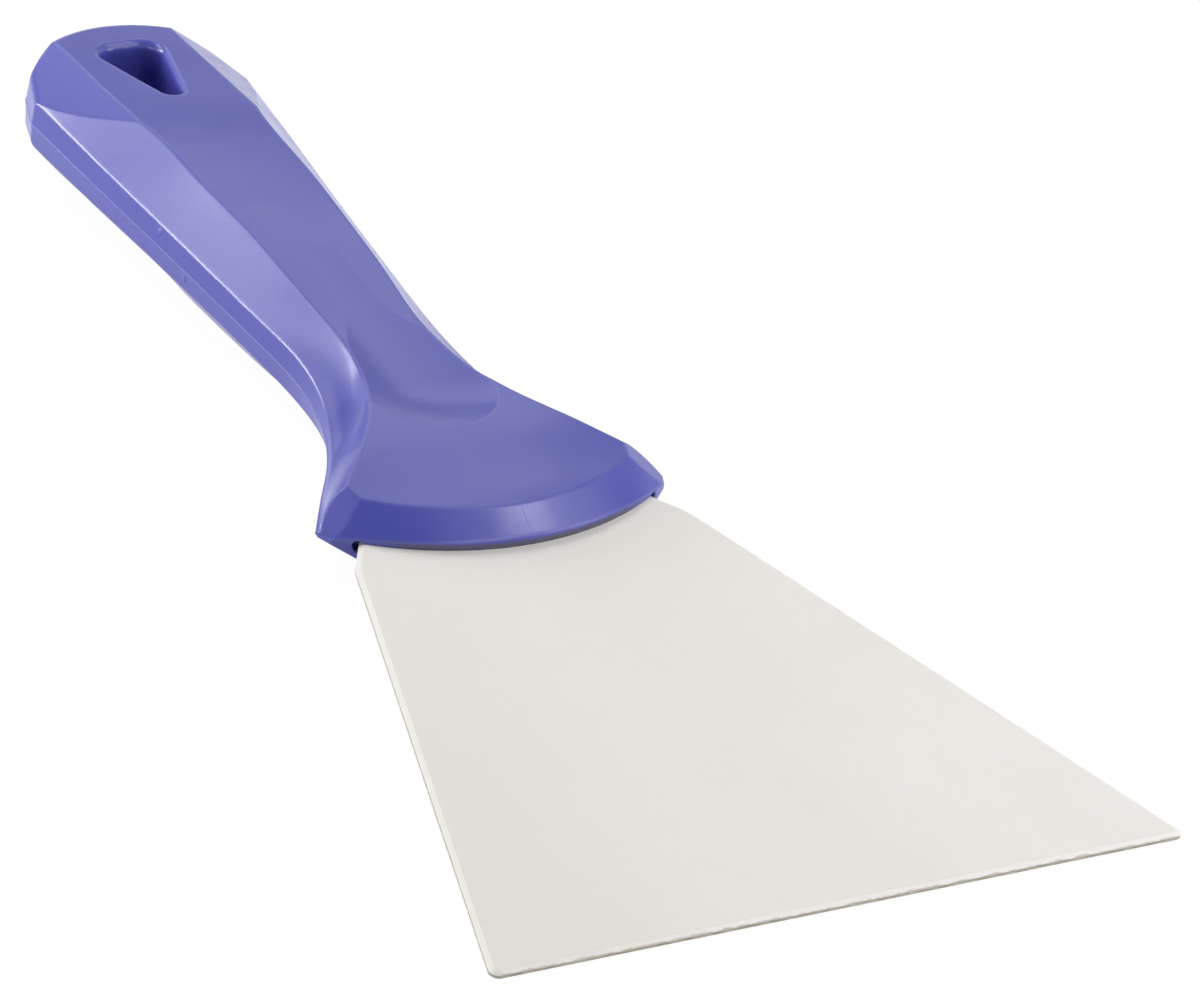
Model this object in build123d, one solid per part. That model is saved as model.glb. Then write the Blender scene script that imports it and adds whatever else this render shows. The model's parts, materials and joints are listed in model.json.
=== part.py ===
from build123d import *
import os
from math import cos, radians, sin, sqrt

# A hand scraper: a thin trapezoid blade of hard nylon, moulded into a one-piece
# polypropylene handle. Lengths are in millimetres. While it is drawn, X runs
# across the blade, Y from the working edge towards the handle's end, and the
# blade's middle plane is Z = 0. Both faces of the handle are alike.

# Blade
blade_width = 100.0
blade_reach = 83.8
blade_thickness = 1.1
blade_corner_radius = 1.2
bevel_run = 0.7
bevel_drop = 0.35
neck_width = 50.6
neck_setback = 1.4
neck_blend_radius = 8.0
shoulder_width = 36.0
shoulder_depth = 12.0
tang_width = 14.0
tang_depth = 46.0
tang_corner_radius = 3.0
anchor_hole_radius = 2.5
anchor_hole_pitch = 11.0
tang_hole_count = 3
shoulder_hole_spacing = 20.0

# Handle
handle_length = 136.9
head_width = 53.0
grip_width = 35.0
grip_thickness = 18.7
crown_radius = 250.0
band_height = 7.0
parting_bulge = 0.5
flank_hollow = 0.9
ridge_radius = 0.5
edge_radius = 0.3

# Front of the head: an upright lip behind a slanting chamfer
lip_radius = 41.0
chamfer_radius = 34.0
chamfer_lead = 3.5
chamfer_run = 7.8
chamfer_rise = 4.45
tip_setback = 10.4
tip_blunting = 0.5
corner_turn = 22.3
corner_tilt = 53.4
chamfer_edge_radius = 0.4
slot_relief_radius = 0.9
slot_relief_depth = 2.2

# Far end of the handle
end_corner_setback = 15.2
end_corner_clearance = 0.07
end_facet_ridge_width = 18.6
end_shoulder_width = 30.0
end_shoulder_setback = 7.7
end_draft_angle = 5.0
end_blend_radius = 6.0
rim_radius = 1.2

# Hanging hole
hole_setback = 7.7
hole_length = 17.85
hole_width = 9.4
hole_corner_radius = 3.1
hole_tip_radius = 1.4
hole_rim_radius = 1.2

# Thumb scoop
scoop_width = 17.2
scoop_depth = 1.1
scoop_place_share = 0.2191
scoop_rise_angle = 5.5
scoop_floor_share = 0.572
scoop_edge_radius = 0.2

# Sections along the handle. Each row holds: place along the handle, half height
# as a share of the grip's half thickness, half width of the flat top and of the
# parting line as shares of the head's or the grip's half width, height of the
# side band as a share of the band's height, hollow of the flank as a share of
# the flank's deepest hollow. From the kink on, the rows go evenly to the last.
head_section_shares = (
    (-0.010, 0.380, 1.189, 1.279, 0.10, -0.90),
    (0.031, 0.466, 1.041, 1.140, 0.12, -0.90),
    (0.074, 0.551, 0.902, 1.011, 0.14, -0.90),
    (0.103, 0.604, 0.781, 0.921, 0.17, -0.75),
    (0.140, 0.674, 0.630, 0.804, 0.23, -0.20),
    (0.183, 0.711, 0.468, 0.664, 0.31, 0.60),
    (0.234, 0.735, 0.332, 0.543, 0.49, 0.80),
)
grip_section_shares = (
    (0.293, 0.763, 0.389, 0.706, 0.77, 0.50),
    (0.353, 0.776, 0.371, 0.671, 0.89, 0.25),
    (0.425, 0.859, 0.406, 0.703, 0.86, 0.12),
    (0.520, 0.963, 0.434, 0.760, 0.86, 0.08),
    (0.630, 1.000, 0.480, 0.826, 0.89, 0.08),
    (0.759, 0.991, 0.531, 0.911, 0.96, 0.08),
)
last_section_shares = (1.025, 0.692, 1.100, 1.062, 1.03, 0.08)
tail_section_count = 4

# On a bench the tool tips forward by this much, onto the head and the belly
rest_angle = 2.9

# Worked out from the sizes above
overall_length = blade_reach + handle_length
half_blade = blade_thickness / 2
clear = overall_length


def along(share):
    return blade_reach + share * handle_length


def cross_plane(y):
    return Plane(origin=(0, y, 0), x_dir=(1, 0, 0), z_dir=(0, -1, 0))


def arc_setback(radius, half_chord):
    return radius - sqrt(radius**2 - half_chord**2)


def four_ways(piece):
    pair = piece + mirror(piece, about=Plane.YZ)
    return pair + mirror(pair, about=Plane.XY)


def both_faces(piece):
    return piece + mirror(piece, about=Plane.XY)


def beyond(plane):
    block = Box(clear, clear, clear, align=(Align.CENTER, Align.CENTER, Align.MIN))
    return plane * block


# Blade outline, with the anchor holes that the handle's plastic fills
def blade_holes():
    y = blade_reach + shoulder_depth
    row = [(0, y + anchor_hole_pitch * step) for step in range(1, tang_hole_count + 1)]
    pair = [(side * shoulder_hole_spacing / 2, y) for side in (-1, 1)]
    return row + pair


def build_blade():
    half = [
        (blade_width / 2, 0),
        (neck_width / 2, blade_reach + neck_setback),
        (shoulder_width / 2, blade_reach + neck_setback + shoulder_depth),
        (tang_width / 2, blade_reach + shoulder_depth * 2),
        (tang_width / 2, blade_reach + tang_depth),
    ]
    outline = half + [(-x, y) for x, y in reversed(half)]
    sheet = make_face(Polyline(*outline, close=True))
    corners = sheet.vertices().sort_by(Axis.Y)
    sheet = fillet(corners[:2], blade_corner_radius)
    corners = sheet.vertices().sort_by(Axis.Y)
    necks = [v for v in corners if abs(v.Y - blade_reach - neck_setback) < bevel_drop]
    sheet = fillet(necks, neck_blend_radius)
    sheet = fillet(sheet.vertices().sort_by(Axis.Y)[-2:], tang_corner_radius)
    blade = Pos(0, 0, -half_blade) * extrude(sheet, blade_thickness)
    for side in (-1, 0):
        rim = blade.edges().group_by(Axis.Z)[side]
        face = blade.faces().sort_by(Axis.Z)[side]
        blade = chamfer(rim, bevel_run, bevel_drop, reference=face)
    for x, y in blade_holes():
        blade -= Pos(x, y, 0) * Cylinder(anchor_hole_radius, blade_thickness * 2)
    return blade


def hollow_arc(start, end, depth):
    middle = (Vector(*start) + Vector(*end)) / 2
    chord = Vector(*end) - Vector(*start)
    inward = Vector(-chord.Y, chord.X, 0).normalized()
    if inward.dot(middle) > 0:
        inward = inward * -1
    return ThreePointArc(start, middle + inward * depth, end)


def section(row, half_width):
    place, height, ridge, outline, band, hollow = row
    top = height * grip_thickness / 2
    flat = ridge * half_width
    parting = outline * half_width
    edge = parting - parting_bulge
    step = band * band_height / 2
    dip = hollow * flank_hollow
    brow = top - arc_setback(crown_radius, flat)
    loop = [
        ThreePointArc((-flat, brow), (0, top), (flat, brow)),
        hollow_arc((flat, brow), (edge, step), dip),
        Line((edge, step), (parting, 0)),
        Line((parting, 0), (edge, -step)),
        hollow_arc((edge, -step), (flat, -brow), dip),
        ThreePointArc((flat, -brow), (0, -top), (-flat, -brow)),
        hollow_arc((-flat, -brow), (-edge, -step), dip),
        Line((-edge, -step), (-parting, 0)),
        Line((-parting, 0), (-edge, step)),
        hollow_arc((-edge, step), (-flat, brow), dip),
    ]
    face = make_face(loop)
    ridges = [v for v in face.vertices() if abs(abs(v.Y) - brow) < edge_radius / 2]
    face = fillet(ridges, ridge_radius * min(1, band))
    corner = Vector(edge, step)
    offsets = [(v, Vector(abs(v.X), abs(v.Y)) - corner) for v in face.vertices()]
    edges = [v for v, offset in offsets if offset.length < edge_radius / 2]
    face = fillet(edges, edge_radius * band)
    return cross_plane(along(place)) * face


def tail_row(share):
    kink = grip_section_shares[-1]
    return [a + (b - a) * share for a, b in zip(kink, last_section_shares)]


# Where the parting line passes the first corner of the end, and the side band's
# height there
def end_corner():
    y = overall_length - end_corner_setback
    kink_y, last_y = along(grip_section_shares[-1][0]), along(last_section_shares[0])
    place, height, ridge, outline, band, hollow = tail_row((y - kink_y) / (last_y - kink_y))
    return Vector(outline * grip_width / 2, y, band * band_height / 2)


def build_body():
    sections = [section(row, head_width / 2) for row in head_section_shares]
    sections += [section(row, grip_width / 2) for row in grip_section_shares]
    for count in range(1, tail_section_count + 1):
        sections.append(section(tail_row(count / tail_section_count), grip_width / 2))
    return loft(sections)


def front_prism(apex_y, radius, rear_y):
    half = head_width / 2 + lip_radius - chamfer_radius
    side_y = apex_y + arc_setback(radius, half)
    arc = ThreePointArc((-half, side_y), (0, apex_y), (half, side_y))
    right = [(half, side_y), (clear, side_y), (clear, rear_y)]
    left = [(-x, y) for x, y in reversed(right)]
    return make_face(Curve() + [arc, Polyline(*right, *left)])


def corner_cut():
    turn, tilt = radians(corner_turn), radians(corner_tilt)
    tip = Vector(head_width / 2, blade_reach + tip_setback, 0)
    outward = Vector(cos(turn), -sin(turn), 0)
    facet = Plane(origin=tip, z_dir=outward * cos(tilt) + Vector(0, 0, sin(tilt)))
    nose = Plane(origin=tip - outward * tip_blunting, z_dir=outward)
    return beyond(facet) + beyond(nose)


def middle_edges(handle, setback):
    target = blade_reach + setback
    found = []
    for edge in handle.edges():
        spot = edge.position_at(1 / 2)
        if abs(spot.X) < blade_thickness and abs(spot.Z) > half_blade:
            if abs(spot.Y - target) < chamfer_lead:
                found.append(edge)
    return found


def cut_front(handle):
    kept = front_prism(blade_reach, lip_radius, clear * 2)
    handle &= extrude(kept, grip_thickness, both=True)
    ahead = front_prism(blade_reach - chamfer_lead, chamfer_radius, -clear)
    slant = Vector(0, chamfer_run, chamfer_rise)
    handle -= both_faces(extrude(ahead, slant.length * 3, dir=slant.normalized()))
    handle -= four_ways(corner_cut())
    return fillet(middle_edges(handle, chamfer_run - chamfer_lead), chamfer_edge_radius)


def end_outline():
    end_y = overall_length
    corner = (end_corner().X + end_corner_clearance, end_y - end_corner_setback)
    shoulder = (end_shoulder_width / 2, end_y - end_shoulder_setback)
    half = [(clear, 0), corner, shoulder]
    other = [(-x, y) for x, y in reversed(half)]
    arc = ThreePointArc(shoulder, (0, end_y), other[0])
    face = make_face(Curve() + [Polyline(*half), arc, Polyline(*other, half[0])])
    bends = [v for v in face.vertices() if v.Y > corner[1] + rim_radius]
    return fillet(bends, end_blend_radius)


def rim_edges(handle):
    low_y = overall_length - end_corner_setback - rim_radius
    low_z = band_height / 2
    rim = []
    for edge in handle.edges():
        ends = [edge.position_at(0), edge.position_at(1)]
        if min(v.Y for v in ends) > low_y and min(abs(v.Z) for v in ends) > low_z:
            if edge.position_at(1 / 2).Y > low_y + rim_radius * 2:
                rim.append(edge)
    return rim


def cut_end(handle):
    wall = extrude(end_outline(), grip_thickness, taper=end_draft_angle)
    handle &= both_faces(wall)
    kink, last = grip_section_shares[-1], last_section_shares
    ridge = end_facet_ridge_width / 2
    fall = arc_setback(crown_radius, ridge)
    points = [
        Vector(ridge, along(kink[0]), kink[1] * grip_thickness / 2 - fall),
        Vector(ridge, along(last[0]), last[1] * grip_thickness / 2 - fall),
        end_corner() - Vector(parting_bulge, 0, 0),
    ]
    outward = (points[1] - points[0]).cross(points[2] - points[0]) * -1
    handle -= four_ways(beyond(Plane(origin=points[0], z_dir=outward)))
    return fillet(rim_edges(handle), rim_radius)


def hole_outline():
    wide_y = overall_length - hole_setback - hole_corner_radius
    wide_x = hole_width / 2 - hole_corner_radius
    tip_y = overall_length - hole_setback - hole_length + hole_tip_radius
    rounds = [Pos(side * wide_x, wide_y) * Circle(hole_corner_radius) for side in (-1, 1)]
    rounds.append(Pos(0, tip_y) * Circle(hole_tip_radius))
    return make_hull([edge for piece in rounds for edge in piece.edges()])


def cut_hole(handle):
    handle -= extrude(hole_outline(), grip_thickness, both=True)
    low_y = overall_length - hole_setback - hole_length - hole_rim_radius
    high_y = overall_length - hole_setback / 2
    rim = []
    for edge in handle.edges():
        ends = [edge.position_at(0), edge.position_at(1)]
        inside = all(abs(v.X) < hole_width / 2 and low_y < v.Y < high_y for v in ends)
        if inside and ends[0].Z * ends[1].Z > 0:
            rim.append(edge)
    return fillet(rim, hole_rim_radius)


def cut_scoops(handle):
    radius = (scoop_width**2 / 4 + scoop_depth**2) / (scoop_depth * 2)
    setback = scoop_place_share * handle_length
    floor_z = scoop_floor_share * grip_thickness / 2
    from_end = (Align.CENTER, Align.CENTER, Align.MIN)
    rod = Rot(-90, 0, 0) * Cylinder(radius, clear, align=from_end)
    tool = Rot(scoop_rise_angle, 0, 0) * (Sphere(radius) + rod)
    handle -= both_faces(Pos(0, blade_reach + setback, floor_z + radius) * tool)
    fronts = middle_edges(handle, setback - scoop_width / 2)
    return fillet(fronts, scoop_edge_radius)


def slot_relief():
    start = Vector(neck_width / 2, blade_reach + neck_setback, 0)
    heading = Vector(shoulder_width / 2, start.Y + shoulder_depth, 0) - start
    from_end = (Align.CENTER, Align.CENTER, Align.MIN)
    rod = Cylinder(slot_relief_radius, heading.length, align=from_end)
    rod = Plane(origin=start, z_dir=heading) * rod
    ahead = front_prism(blade_reach + slot_relief_depth, lip_radius, -clear)
    return (rod + mirror(rod, about=Plane.YZ)) & extrude(ahead, grip_thickness, both=True)


def build_handle(blade):
    handle = cut_front(cut_end(build_body()))
    handle = cut_hole(cut_scoops(handle))
    return handle - slot_relief() - blade


# The tool as it lies on a bench, with the origin under the middle of its box
def at_rest(pieces):
    tipped = [Rot(rest_angle, 0, 0) * piece for piece in pieces]
    boxes = [piece.bounding_box() for piece in tipped]
    front, rear = min(box.min.Y for box in boxes), max(box.max.Y for box in boxes)
    ground = min(box.min.Z for box in boxes)
    return [Pos(0, -(front + rear) / 2, -ground) * piece for piece in tipped]


blade = build_blade()
handle = build_handle(blade)
handle, blade = at_rest([handle, blade])
os.makedirs("parts", exist_ok=True)
export_step(handle, "parts/handle.step")
export_step(blade, "parts/blade.step")
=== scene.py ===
import json
import math

import bmesh
import bpy
from mathutils import Matrix, Vector


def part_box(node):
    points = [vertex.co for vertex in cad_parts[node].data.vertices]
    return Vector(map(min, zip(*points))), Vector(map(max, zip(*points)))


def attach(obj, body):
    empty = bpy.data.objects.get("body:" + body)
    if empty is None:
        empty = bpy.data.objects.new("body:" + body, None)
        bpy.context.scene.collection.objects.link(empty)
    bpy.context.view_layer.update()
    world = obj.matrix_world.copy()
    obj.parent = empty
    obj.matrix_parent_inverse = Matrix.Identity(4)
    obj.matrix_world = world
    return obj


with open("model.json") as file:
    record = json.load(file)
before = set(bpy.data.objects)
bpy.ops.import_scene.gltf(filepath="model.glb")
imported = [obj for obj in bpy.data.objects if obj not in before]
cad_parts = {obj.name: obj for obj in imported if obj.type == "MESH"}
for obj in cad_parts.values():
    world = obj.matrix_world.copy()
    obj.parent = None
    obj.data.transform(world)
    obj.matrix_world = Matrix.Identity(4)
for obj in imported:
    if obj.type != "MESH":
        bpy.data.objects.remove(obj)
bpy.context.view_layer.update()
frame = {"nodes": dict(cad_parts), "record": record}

# Lengths are in metres. X runs across the blade, Y from its working edge towards
# the handle's end, and the tool lies on the floor at Z = 0.

# Camera, at the photograph's viewing angle
PHOTO_WIDTH_PIXELS = 1200
FOCAL_PIXELS = 6300
SENSOR_WIDTH = 36
CAMERA_PLACE = Vector((-0.3836876, -0.6406394, 0.4106505))
CAMERA_RIGHT = Vector((0.86905477, -0.48062746, 0.11722221))
CAMERA_BACK = Vector((-0.4732364, -0.73858642, 0.48014311))
CLIP_START = 0.1
CLIP_END = 30

# Square lamps, all equally far away: name, direction from the tool, side, watts
LAMP_DISTANCE = 1.0
LAMPS = (
    ("left_rim", (-0.85, 0.49, 0.21), 0.3, 1.5),
    ("back_left_rim", (-0.63, 0.75, 0.21), 0.3, 4.7),
    ("back_left", (-0.56, 0.66, 0.50), 0.3, 1.1),
    ("back_left_high", (-0.43, 0.51, 0.74), 0.3, 1.2),
    ("back_high", (-0.23, 0.63, 0.74), 0.3, 0.6),
    ("back", (0.0, 0.87, 0.50), 0.3, 0.4),
    ("back_right_high", (0.30, 0.64, 0.71), 0.5, 1.1),
    ("right_rear_high", (0.61, 0.35, 0.71), 0.5, 0.3),
    ("right_high", (0.66, -0.24, 0.71), 0.5, 1.3),
    ("right_rim", (0.98, 0.0, 0.21), 0.5, 0.4),
    ("front_right_rim", (0.69, -0.69, 0.21), 0.5, 5.0),
    ("front_high", (0.24, -0.66, 0.71), 0.5, 2.9),
    ("left_front_rim", (-0.94, -0.25, 0.21), 0.5, 2.6),
    ("overhead", (0.34, 0.0, 0.94), 0.5, 0.8),
    ("glint", (0.46, -0.10, 0.88), 0.18, 0.65),
)

# The world's strength on matt surfaces, in reflections at the zenith, and where
# it is plain white: to the camera, and in reflections at the horizon
WORLD_STRENGTH = 0.04
ZENITH_STRENGTH = 0.15
WHITE_STRENGTH = 1

# Floor
FLOOR_HALF = 6.0
FLOOR_DROP = 0.00002
FLOOR_CORNER_SHARES = ((-1, -1), (1, -1), (1, 1), (-1, 1))
FLOOR_COLOUR = 0.9
SEEN_FLOOR_COLOUR = 0.06
SEEN_FLOOR_GLOW = 0.965
MIRRORED_FLOOR_COLOUR = 0.6
MIRRORED_FLOOR_GLOW = 0.5

# Noise patterns: stretch in X, Y and Z, scale, detail, roughness
HANDLE_FLOW = ((1, 0.35, 1), 26, 4, 0.55)
HANDLE_MOTTLE = ((1, 1, 1), 230, 3, 0.6)
HANDLE_EDGE_PATCHES = ((1, 1, 1), 200, 4, 0.7)
HANDLE_GRAIN = ((1, 1, 1), 1500, 2, 0.5)
HANDLE_SINK = ((1, 1, 1), 90, 1, 0.4)
BLADE_CLOUD = ((1, 0.6, 1), 17, 5, 0.6)
BLADE_FLECK = ((1, 1, 1), 1100, 2, 0.6)
BLADE_RAGGED = ((1, 1, 1), 300, 4, 0.7)
BLADE_STREAK = ((0.5, 1, 6), 1100, 4, 0.65)
BLADE_MARKS = ((1, 0.03, 1), 1100, 2, 0.5)

# The part of a pattern's values that is spread over the whole result
HANDLE_TONE_RANGE = (0.32, 0.68)
BLADE_TONE_RANGE = (0.36, 0.64)
PATCH_RANGE = (0.35, 0.65)
GLOSS_RANGE = (0.3, 0.7)

# Bumps: strength, depth
HANDLE_SINK_BUMP = (0.03, 0.0001)
HANDLE_GRAIN_BUMP = (0.03, 0.00002)
CREASE_BUMP = (0.15, 0.00006)
BLADE_MARKS_BUMP = (0.06, 0.00003)
BLADE_FLECK_BUMP = (0.08, 0.00002)

# Sharp edges look rounded. Their rounding starts to turn pale, rubbed and with painted
# highlight, where it turns the surface by the first sine, and does so fully at the second.
EDGE_SINES = (0.03, 0.12)
EDGE_SAMPLES = 8

# Handle: a violet moulded polypropylene, paler along its edges from rubbing and painted highlight
VIOLET_DEEP = (0.064, 0.068, 0.355, 1)
VIOLET_PALE = (0.080, 0.085, 0.405, 1)
VIOLET_RUB_AND_HIGHLIGHT = (0.13, 0.135, 0.46, 1)
FLOW_SHARE = 0.75
EDGE_RUB_AND_HIGHLIGHT_SHARES = (0.2, 0.5)
TRIM_RUB_AND_HIGHLIGHT_SHARE = 0.4
HANDLE_ROUGHNESS = (0.18, 0.25)
TRIM_ROUGHNESS = (0.42, 0.5)
HANDLE_EDGE_RADIUS = 0.0007
PLASTIC_IOR = 1.49

# The crease down the middle of the head's front
CREASE_HALF_WIDTH = 0.00022
CREASE_END_Y = -0.0222
CREASE_FADE = 0.0012

# Painted shade and painted blade reflection on the lip over the blade, its top measured from the
# blade's middle plane
VIOLET_LIP_SHADE = (0.085, 0.075, 0.13, 1)
LIP_TOP = 0.0016
LIP_BACK_Y = -0.016
LIP_HALF_WIDTH = 0.021
LIP_SHADE_FADE = 0.0004
LIP_SHADE_SIDE_FADE = 0.006

# Blade: a warm white moulded nylon that lets a little light in
NYLON_PALE = (0.80, 0.785, 0.755, 1)
NYLON_WARM = (0.755, 0.735, 0.69, 1)
CLOUD_SHARE = 0.8
BLADE_ROUGHNESS = (0.34, 0.46)
BLADE_EDGE_RADIUS = 0.00015
NYLON_IOR = 1.53
SUBSURFACE_WEIGHT = 0.12
SUBSURFACE_RADIUS = (1.0, 0.8, 0.5)
SUBSURFACE_SCALE = 0.0008

# Painted shade that darkens and warms the blade towards one side, full at the first X and gone at
# the second
NYLON_SIDE_SHADE = (0.70, 0.68, 0.63, 1)
SIDE_SHADE_SPAN = (-0.045, 0.03)

# The blade's bevels, given a painted highlight, and the cut walls between them, given painted
# shade, which are told apart by how far a surface faces up or down
NYLON_BEVEL_HIGHLIGHT = (0.81, 0.80, 0.785, 1)
BEVEL_RISES = (0.92, 0.97)
BEVEL_HIGHLIGHT_SHARE = 0.3
NYLON_CUT_SHADE = (0.20, 0.185, 0.12, 1)
NYLON_CUT_SHADE_PALE = (0.47, 0.45, 0.37, 1)
CUT_RISES = (0.12, 0.3)

# A darker ragged band along the working edge, and the least and most that it reaches in
NYLON_EDGE_BAND = (0.42, 0.40, 0.355, 1)
EDGE_BAND_SHARE = 0.85
RAGGED_REACH = (0, 0.0003)
RAGGED_FADE = 0.0001

# The parting line's thin bead round the handle
SAME_POINT = 1e-6
BEAD_RADIUS = 0.00025
BEAD_SINK = 0.0002
BEAD_RESOLUTION = 3

# Two small pips on the handle's left side: distance from the working edge, and
# height over the parting line. A ray from PIP_SEARCH away, on the left, finds the
# surface under each, and their profile runs from the foot to the top.
PIPS = ((0.1615, -0.0010), (0.1693, 0.0021))
PIP_RADIUS = 0.0005
PIP_HEIGHT = 0.00012
PIP_SIDES = 20
PIP_SEARCH = 0.1
PIP_PROFILE_SHARES = (
    (1.3, -0.4),
    (1.25, 0.02),
    (1.02, 0.15),
    (0.88, 0.6),
    (0.62, 0.88),
    (0.25, 1.0),
)


def grey(value):
    return (value, value, value, 1)


def add_camera():
    data = bpy.data.cameras.new("camera")
    data.sensor_width = SENSOR_WIDTH
    data.lens = FOCAL_PIXELS / PHOTO_WIDTH_PIXELS * SENSOR_WIDTH
    data.clip_start = CLIP_START
    data.clip_end = CLIP_END
    camera = bpy.data.objects.new("camera", data)
    bpy.context.scene.collection.objects.link(camera)
    up = CAMERA_BACK.cross(CAMERA_RIGHT)
    turn = Matrix((CAMERA_RIGHT, up, CAMERA_BACK)).transposed().to_4x4()
    camera.matrix_world = Matrix.Translation(CAMERA_PLACE) @ turn
    bpy.context.scene.camera = camera


def add_lamp(name, direction, side, watts):
    data = bpy.data.lights.new(name, "AREA")
    data.shape = "SQUARE"
    data.size = side
    data.energy = watts
    lamp = bpy.data.objects.new(name, data)
    bpy.context.scene.collection.objects.link(lamp)
    towards = Vector(direction).normalized()
    lamp.location = towards * LAMP_DISTANCE
    lamp.rotation_euler = towards.to_track_quat("Z", "Y").to_euler()


class Tree:
    """A material's or the world's nodes, made and joined one line at a time."""

    def __init__(self, owner):
        owner.use_nodes = True
        self.nodes = owner.node_tree.nodes
        self.links = owner.node_tree.links

    def put(self, kind, into=(), **settings):
        node = self.nodes.new("ShaderNode" + kind)
        for name, value in settings.items():
            setattr(node, name, value)
        for name, value in dict(into).items():
            self.set(node, name, value)
        return node

    def set(self, node, name, value):
        if isinstance(value, bpy.types.NodeSocket):
            self.links.new(value, node.inputs[name])
        else:
            node.inputs[name].default_value = value

    def rays(self):
        """1 for the camera's own rays, and 1 for those that gloss or glass sends on."""
        path = self.put("LightPath").outputs
        mirrored = self.math("MAXIMUM", path["Is Glossy Ray"], path["Is Transmission Ray"])
        return path["Is Camera Ray"], mirrored

    def place(self):
        return self.put("TexCoord").outputs["Object"]

    def facing(self):
        return self.put("NewGeometry").outputs["Normal"]

    def parts(self, vector):
        return self.put("SeparateXYZ", {0: vector}).outputs

    def distance_along(self, direction):
        """How far a place lies along a direction, from the origin."""
        return self.vector_math("DOT_PRODUCT", self.place(), direction).outputs["Value"]

    def math(self, operation, *values):
        return self.put("Math", enumerate(values), operation=operation).outputs[0]

    def vector_math(self, operation, *values):
        return self.put("VectorMath", enumerate(values), operation=operation)

    def remap(self, value, low, high, to_low, to_high):
        ends = {"From Min": low, "From Max": high, "To Min": to_low, "To Max": to_high}
        return self.put("MapRange", {"Value": value, **ends}).outputs["Result"]

    def mix(self, share, first, second):
        into = {"Fac": share, "Color1": first, "Color2": second}
        return self.put("MixRGB", into).outputs["Color"]

    def blend(self, share, first, second):
        """The first value's share, and the rest from the second value."""
        most = self.math("MULTIPLY", first, share)
        return self.math("ADD", most, self.math("MULTIPLY", second, 1 - share))

    def noise(self, stretch, scale, detail, roughness):
        place = self.put("Mapping", {"Vector": self.place(), "Scale": stretch}).outputs["Vector"]
        into = {"Vector": place, "Scale": scale, "Detail": detail, "Roughness": roughness}
        return self.put("TexNoise", into).outputs["Fac"]

    def soft_normal(self, radius):
        return self.put("Bevel", {"Radius": radius}, samples=EDGE_SAMPLES).outputs["Normal"]

    def edges(self, soft_normal):
        """1 along the edges, 0 on open faces."""
        turn = self.vector_math("CROSS_PRODUCT", soft_normal, self.facing()).outputs["Vector"]
        sine = self.vector_math("LENGTH", turn).outputs["Value"]
        return self.remap(sine, *EDGE_SINES, 0, 1)

    def bump(self, height, strength, depth, normal):
        into = {"Height": height, "Strength": strength, "Distance": depth, "Normal": normal}
        return self.put("Bump", into).outputs["Normal"]


def light_world():
    world = bpy.data.worlds.new("studio")
    bpy.context.scene.world = world
    tree = Tree(world)
    background = tree.nodes["Background"]
    background.inputs["Color"].default_value = grey(1)
    seen, mirrored = tree.rays()
    height = tree.parts(tree.put("TexCoord").outputs["Generated"])["Z"]
    dome = tree.remap(height, 0, 1, WHITE_STRENGTH, ZENITH_STRENGTH)
    strength = tree.remap(mirrored, 0, 1, WORLD_STRENGTH, dome)
    strength = tree.remap(seen, 0, 1, strength, WHITE_STRENGTH)
    tree.set(background, "Strength", strength)


def floor_material():
    material = bpy.data.materials.new("floor_paper")
    tree = Tree(material)
    tree.nodes.clear()

    def glowing_paper(colour, glow):
        paper = tree.put("BsdfDiffuse", {"Color": grey(colour)}).outputs[0]
        light = tree.put("Emission", {"Color": grey(1), "Strength": glow}).outputs[0]
        return tree.put("AddShader", {0: paper, 1: light}).outputs[0]

    is_seen, is_mirrored = tree.rays()
    plain = tree.put("BsdfDiffuse", {"Color": grey(FLOOR_COLOUR)}).outputs[0]
    mirrored = glowing_paper(MIRRORED_FLOOR_COLOUR, MIRRORED_FLOOR_GLOW)
    seen = glowing_paper(SEEN_FLOOR_COLOUR, SEEN_FLOOR_GLOW)
    surface = tree.put("MixShader", {0: is_mirrored, 1: plain, 2: mirrored}).outputs[0]
    surface = tree.put("MixShader", {0: is_seen, 1: surface, 2: seen}).outputs[0]
    tree.put("OutputMaterial", {"Surface": surface})
    return material


def add_floor():
    corners = [(x * FLOOR_HALF, y * FLOOR_HALF, -FLOOR_DROP) for x, y in FLOOR_CORNER_SHARES]
    mesh = bpy.data.meshes.new("floor")
    mesh.from_pydata(corners, [], [tuple(range(len(corners)))])
    mesh.materials.append(floor_material())
    floor = bpy.data.objects.new("floor", mesh)
    bpy.context.scene.collection.objects.link(floor)


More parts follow.
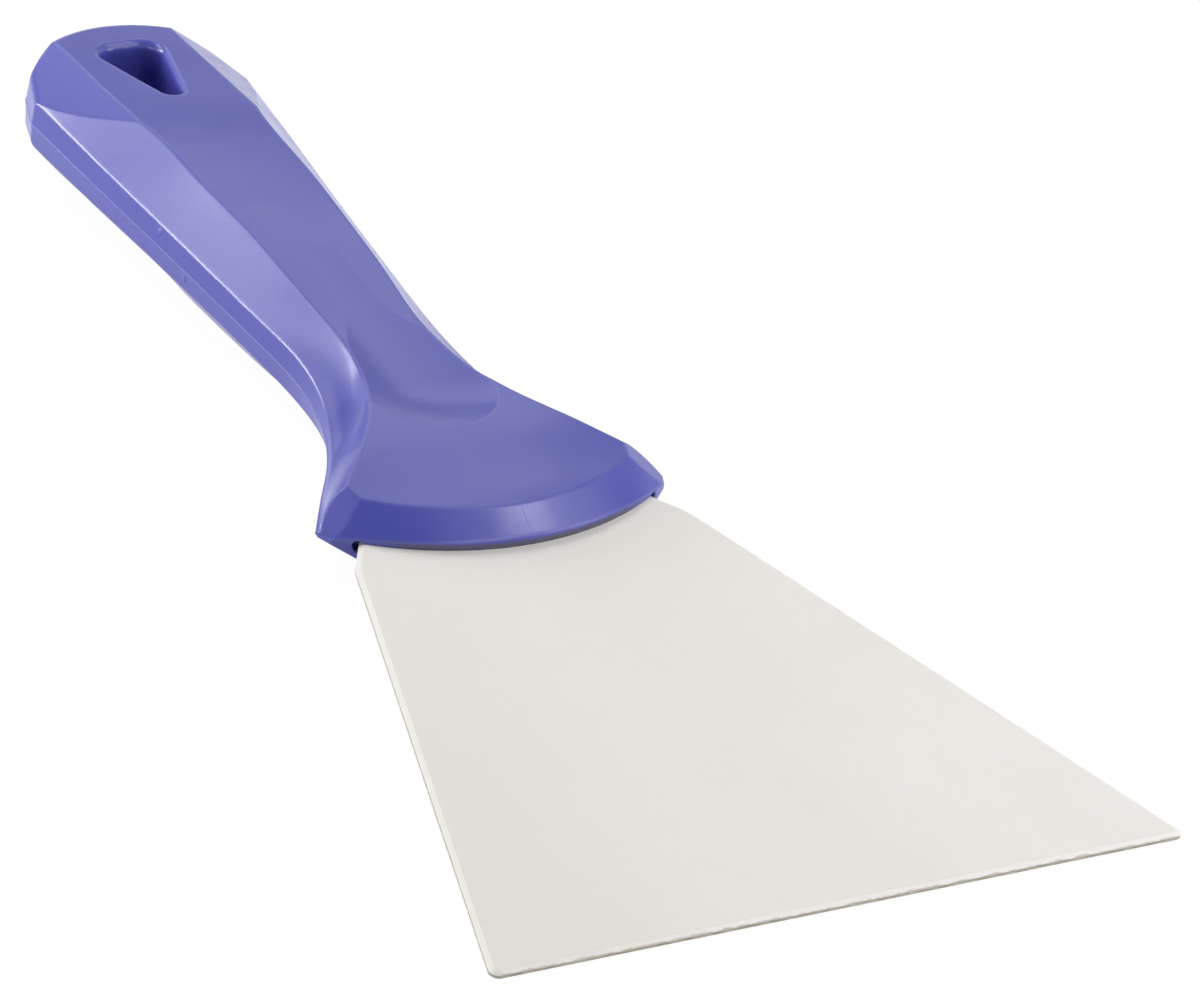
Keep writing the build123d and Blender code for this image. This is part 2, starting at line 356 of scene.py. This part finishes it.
def violet_material(name, roughness, edge_radius):
    """Violet plastic, paler along its edges from rubbing and painted highlight. Without an edge
    radius, for the thin trim, that paler colour is spread all over.
    """
    material = bpy.data.materials.new(name)
    tree = Tree(material)
    shader = tree.nodes["Principled BSDF"]

    # Slow flow marks of the pigment along the handle, with a fine mottle on them
    mottle = tree.noise(*HANDLE_MOTTLE)
    tone = tree.blend(FLOW_SHARE, tree.noise(*HANDLE_FLOW), mottle)
    colour = tree.mix(tree.remap(tone, *HANDLE_TONE_RANGE, 0, 1), VIOLET_DEEP, VIOLET_PALE)
    if edge_radius:
        skin = tree.soft_normal(edge_radius)
        # Paler edges in patches, partly rubbed wear and partly painted highlight
        edge_patches = tree.remap(tree.noise(*HANDLE_EDGE_PATCHES), *PATCH_RANGE, *EDGE_RUB_AND_HIGHLIGHT_SHARES)
        rub_and_highlight = tree.math("MULTIPLY", tree.edges(skin), edge_patches)
        colour = tree.mix(rub_and_highlight, colour, VIOLET_RUB_AND_HIGHLIGHT)
        # Painted shade and a painted reflection of the blade grey the lip over the blade
        colour = tree.mix(painted_lip_shade(tree), colour, VIOLET_LIP_SHADE)
    else:
        skin = tree.facing()
        # The thin trim is paler all over, partly rubbing and partly painted highlight
        colour = tree.mix(TRIM_RUB_AND_HIGHLIGHT_SHARE, colour, VIOLET_RUB_AND_HIGHLIGHT)
    tree.set(shader, "Base Color", colour)
    tree.set(shader, "Roughness", tree.remap(mottle, *GLOSS_RANGE, *roughness))

    # A fine spark-eroded grain on a very slightly uneven skin
    normal = tree.bump(tree.noise(*HANDLE_SINK), *HANDLE_SINK_BUMP, skin)
    normal = tree.bump(tree.noise(*HANDLE_GRAIN), *HANDLE_GRAIN_BUMP, normal)
    if edge_radius:
        normal = tree.bump(crease(tree), *CREASE_BUMP, normal)
    tree.set(shader, "Normal", normal)
    shader.inputs["IOR"].default_value = PLASTIC_IOR
    return material


def crease(tree):
    """0 along the faint line down the head's front, where two streams of plastic met."""
    here = tree.parts(tree.place())
    across = tree.remap(tree.math("ABSOLUTE", here["X"]), 0, CREASE_HALF_WIDTH, 0, 1)
    behind = tree.remap(here["Y"], CREASE_END_Y - CREASE_FADE, CREASE_END_Y, 0, 1)
    return tree.math("MAXIMUM", across, behind)


def painted_lip_shade(tree):
    """1 on the lip over the blade, where painted shade and a painted reflection of the blade grey
    the head's front.
    """
    middle, _, up = tool_axes()
    top = middle.dot(up) + LIP_TOP
    low = tree.remap(tree.distance_along(up), top - LIP_SHADE_FADE, top, 1, 0)
    here = tree.parts(tree.place())
    aside = tree.math("ABSOLUTE", here["X"])
    inside = tree.remap(aside, LIP_HALF_WIDTH - LIP_SHADE_SIDE_FADE, LIP_HALF_WIDTH, 1, 0)
    front = tree.math("LESS_THAN", here["Y"], LIP_BACK_Y)
    return tree.math("MULTIPLY", tree.math("MULTIPLY", low, inside), front)


def darker_edge_band(tree):
    """How much of the blade's colour gives way to a darker ragged band along its edge."""
    middle, along, _ = tool_axes()
    edge = middle.dot(along)
    least, most = RAGGED_REACH
    reach = tree.remap(tree.noise(*BLADE_RAGGED), *PATCH_RANGE, edge + least, edge + most)
    past = tree.math("SUBTRACT", tree.distance_along(along), reach)
    return tree.remap(past, -RAGGED_FADE, RAGGED_FADE, EDGE_BAND_SHARE, 0)


def blade_material():
    material = bpy.data.materials.new("white_nylon")
    tree = Tree(material)
    shader = tree.nodes["Principled BSDF"]

    # Cloudy warm white with fine flecks, and painted shade that darkens it towards one side
    cloud = tree.noise(*BLADE_CLOUD)
    fleck = tree.noise(*BLADE_FLECK)
    tone = tree.blend(CLOUD_SHARE, cloud, fleck)
    colour = tree.mix(tree.remap(tone, *BLADE_TONE_RANGE, 0, 1), NYLON_PALE, NYLON_WARM)
    # Painted shade, darker and warmer towards one side of the blade
    across = tree.parts(tree.place())["X"]
    colour = tree.mix(tree.remap(across, *SIDE_SHADE_SPAN, 1, 0), colour, NYLON_SIDE_SHADE)

    # Bevels paler with painted highlight, and a darker ragged band along the working edge
    rise = tree.math("ABSOLUTE", tree.parts(tree.facing())["Z"])
    is_bevel = tree.remap(rise, *BEVEL_RISES, BEVEL_HIGHLIGHT_SHARE, 0)
    colour = tree.mix(is_bevel, colour, NYLON_BEVEL_HIGHLIGHT)
    colour = tree.mix(darker_edge_band(tree), colour, NYLON_EDGE_BAND)

    # Narrow cut walls between the bevels, darkened with streaky painted shade
    streak = tree.remap(tree.noise(*BLADE_STREAK), *PATCH_RANGE, 0, 1)
    cut = tree.mix(streak, NYLON_CUT_SHADE, NYLON_CUT_SHADE_PALE)
    colour = tree.mix(tree.remap(rise, *CUT_RISES, 1, 0), colour, cut)
    tree.set(shader, "Base Color", colour)
    tree.set(shader, "Roughness", tree.remap(cloud, *GLOSS_RANGE, *BLADE_ROUGHNESS))

    # Satin skin with faint draw marks towards the working edge
    normal = tree.soft_normal(BLADE_EDGE_RADIUS)
    normal = tree.bump(tree.noise(*BLADE_MARKS), *BLADE_MARKS_BUMP, normal)
    normal = tree.bump(fleck, *BLADE_FLECK_BUMP, normal)
    tree.set(shader, "Normal", normal)
    shader.inputs["IOR"].default_value = NYLON_IOR
    shader.inputs["Subsurface Weight"].default_value = SUBSURFACE_WEIGHT
    shader.inputs["Subsurface Radius"].default_value = SUBSURFACE_RADIUS
    shader.inputs["Subsurface Scale"].default_value = SUBSURFACE_SCALE
    return material


def dress(node, material):
    node.data.materials.clear()
    node.data.materials.append(material)


def tool_axes():
    """The middle of the working edge, and the directions along and up from the blade."""
    edge = next(mount for mount in frame["record"]["mounts"] if mount["name"] == "working_edge")
    along = -Vector(edge["axis"])
    return Vector(edge["pos_m"]), along, Vector((1, 0, 0)).cross(along)


def parting_chain(node):
    """Points round the handle's outline at the blade's middle plane, with their normals."""
    middle, _, up = tool_axes()
    mesh = bmesh.new()
    mesh.from_mesh(node.data)
    bmesh.ops.remove_doubles(mesh, verts=mesh.verts, dist=SAME_POINT)
    level = [v for v in mesh.verts if abs((v.co - middle).dot(up)) < SAME_POINT]
    beside = {v: [e.other_vert(v) for e in v.link_edges if e.other_vert(v) in level] for v in level}
    vert = next(v for v in level if len(beside[v]) == 1)
    chain = []
    while vert is not None:
        chain.append((vert.co.copy(), vert.normal.copy()))
        level.remove(vert)
        vert = next((v for v in beside[vert] if v in level), None)
    mesh.free()
    return chain


def add_parting_bead(node, material):
    """The thin bead that the two halves of the mould leave round the handle."""
    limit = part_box(node.name)[1][1] - BEAD_RADIUS
    curve = bpy.data.curves.new("parting_bead", "CURVE")
    curve.dimensions = "3D"
    curve.bevel_depth = BEAD_RADIUS
    curve.bevel_resolution = BEAD_RESOLUTION
    chain = parting_chain(node)
    spline = curve.splines.new("POLY")
    spline.points.add(len(chain) - 1)
    for point, (place, outward) in zip(spline.points, chain):
        x, y, z = place - outward * BEAD_SINK
        point.co = (x, min(y, limit), z, 1)
    curve.materials.append(material)
    bead = bpy.data.objects.new("parting_bead", curve)
    bpy.context.scene.collection.objects.link(bead)
    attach(bead, "root")


def pip_ring(mesh, place, turn, radius, height):
    ring = []
    for step in range(PIP_SIDES):
        angle = math.tau * step / PIP_SIDES
        spot = Vector((math.cos(angle) * radius, math.sin(angle) * radius, height))
        ring.append(mesh.verts.new(place + turn @ spot))
    return ring


def add_pip(name, node, distance, height, material):
    """A small ejector pip, a low dome with a filleted foot, on the handle's left side."""
    middle, along, up = tool_axes()
    start = middle + along * distance + up * height - Vector((PIP_SEARCH, 0, 0))
    _, place, outward, _ = node.ray_cast(start, Vector((1, 0, 0)))
    turn = outward.to_track_quat("Z", "Y").to_matrix()
    mesh = bmesh.new()
    profile = [(r * PIP_RADIUS, h * PIP_HEIGHT) for r, h in PIP_PROFILE_SHARES]
    rings = [pip_ring(mesh, place, turn, *row) for row in profile]
    for low, high in zip(rings, rings[1:]):
        for step in range(PIP_SIDES):
            after = (step + 1) % PIP_SIDES
            mesh.faces.new((low[step], low[after], high[after], high[step]))
    mesh.faces.new(rings[-1])
    mesh.faces.new(reversed(rings[0]))
    for face in mesh.faces:
        face.smooth = True
    data = bpy.data.meshes.new(name)
    mesh.to_mesh(data)
    mesh.free()
    data.materials.append(material)
    pip = bpy.data.objects.new(name, data)
    bpy.context.scene.collection.objects.link(pip)
    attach(pip, "root")


add_camera()
light_world()
for lamp in LAMPS:
    add_lamp(*lamp)
add_floor()
handle, blade = frame["nodes"]["handle"], frame["nodes"]["blade"]
dress(handle, violet_material("violet_polypropylene", HANDLE_ROUGHNESS, HANDLE_EDGE_RADIUS))
dress(blade, blade_material())
# The trim's paler colour gives the bead and pips a painted highlight
trim = violet_material("violet_polypropylene_trim", TRIM_ROUGHNESS, 0)
add_parting_bead(handle, trim)
for count, (distance, height) in enumerate(PIPS, start=1):
    add_pip("pip_%d" % count, handle, distance, height, trim)

bpy.context.scene.view_settings.view_transform = "Standard"

bpy.context.view_layer.update()
